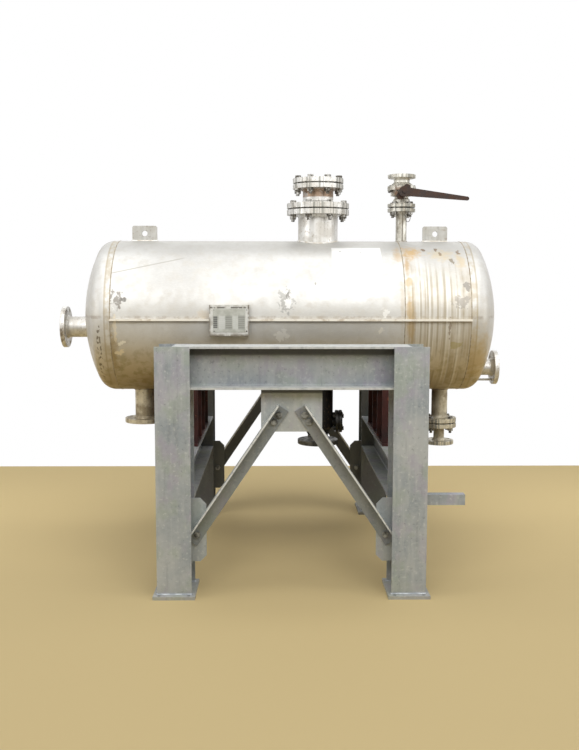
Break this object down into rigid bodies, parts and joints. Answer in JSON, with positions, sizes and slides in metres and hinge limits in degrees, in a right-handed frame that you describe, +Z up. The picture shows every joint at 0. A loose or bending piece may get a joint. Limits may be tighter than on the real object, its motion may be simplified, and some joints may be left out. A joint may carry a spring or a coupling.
{
  "type": "shell and tube heat exchanger on a steel stand",
  "caption": "Horizontal stainless vessel with dished heads, flanged nozzles and a lever valve, on saddles and a galvanised steel stand.",
  "frame": {"origin": "on the floor, at the centre of the stand's anchor bolts", "axes": "+X along the vessel towards the end with the short course, -Y to the front with the nameplate, +Z up"},
  "size_m": [2.426, 1.85, 2.089],
  "materials": {
    "stainless_shell": "dull rolled stainless with weld seams, stains and patches",
    "stainless_fittings": "machined stainless with light stains",
    "galvanised_steel": "weathered hot-dip zinc, mottled blue-grey",
    "gasket_black": "matt black",
    "red_primer": "matt primer",
    "rusty_iron": "dark brown rust",
    "black_fitting": "black, oily",
    "nameplate_metal": "bare, aged"
  },
  "bodies": {
    "vessel_on_stand": {"shell_long_course": "stainless_shell", "shell_end_course": "stainless_shell", "head_left": "stainless_shell", "head_right": "stainless_shell", "side_bars": "stainless_shell", "lifting_lug_left": "stainless_shell", "lifting_lug_right": "stainless_shell", "nameplate_bracket": "stainless_fittings", "nameplate": "nameplate_metal", "top_nozzle": "stainless_fittings", "top_gasket_large": "gasket_black", "top_spool": "stainless_fittings", "top_gasket_small": "gasket_black", "top_blind_flange": "stainless_fittings", "valve_nozzle": "stainless_fittings", "valve_gasket": "gasket_black", "valve_body": "stainless_fittings", "valve_gland": "rusty_iron", "head_nozzle_left": "stainless_fittings", "head_nozzle_right": "stainless_fittings", "nozzle_stay": "stainless_shell", "drain_nozzle_left": "stainless_fittings", "drain_nozzle_right": "stainless_fittings", "drain_gasket": "gasket_black", "drain_spool": "stainless_fittings", "boot": "stainless_fittings", "boot_outlet": "stainless_fittings", "boot_branch": "black_fitting", "boot_blind_flange": "black_fitting", "saddle_left": "red_primer", "saddle_right": "red_primer", "leg_front_left": "galvanised_steel", "leg_front_right": "galvanised_steel", "leg_rear_left": "galvanised_steel", "leg_rear_right": "galvanised_steel", "feet": "galvanised_steel", "top_beam_front": "galvanised_steel", "top_beam_rear": "galvanised_steel", "cross_beam_left": "galvanised_steel", "cross_beam_right": "galvanised_steel", "gussets": "galvanised_steel", "braces": "galvanised_steel", "stub_tube": "galvanised_steel"},
    "valve_handle": {"valve_stem": "stainless_fittings", "valve_lever": "rusty_iron"}
  },
  "joints": [
    {"name": "valve_lever_turn", "type": "hinge", "parent": "vessel_on_stand", "child": "valve_handle", "pos_m": [0.62, -0.1, 1.989], "axis": [0, -1, 0], "range_deg": [0, 90]}
  ]
}
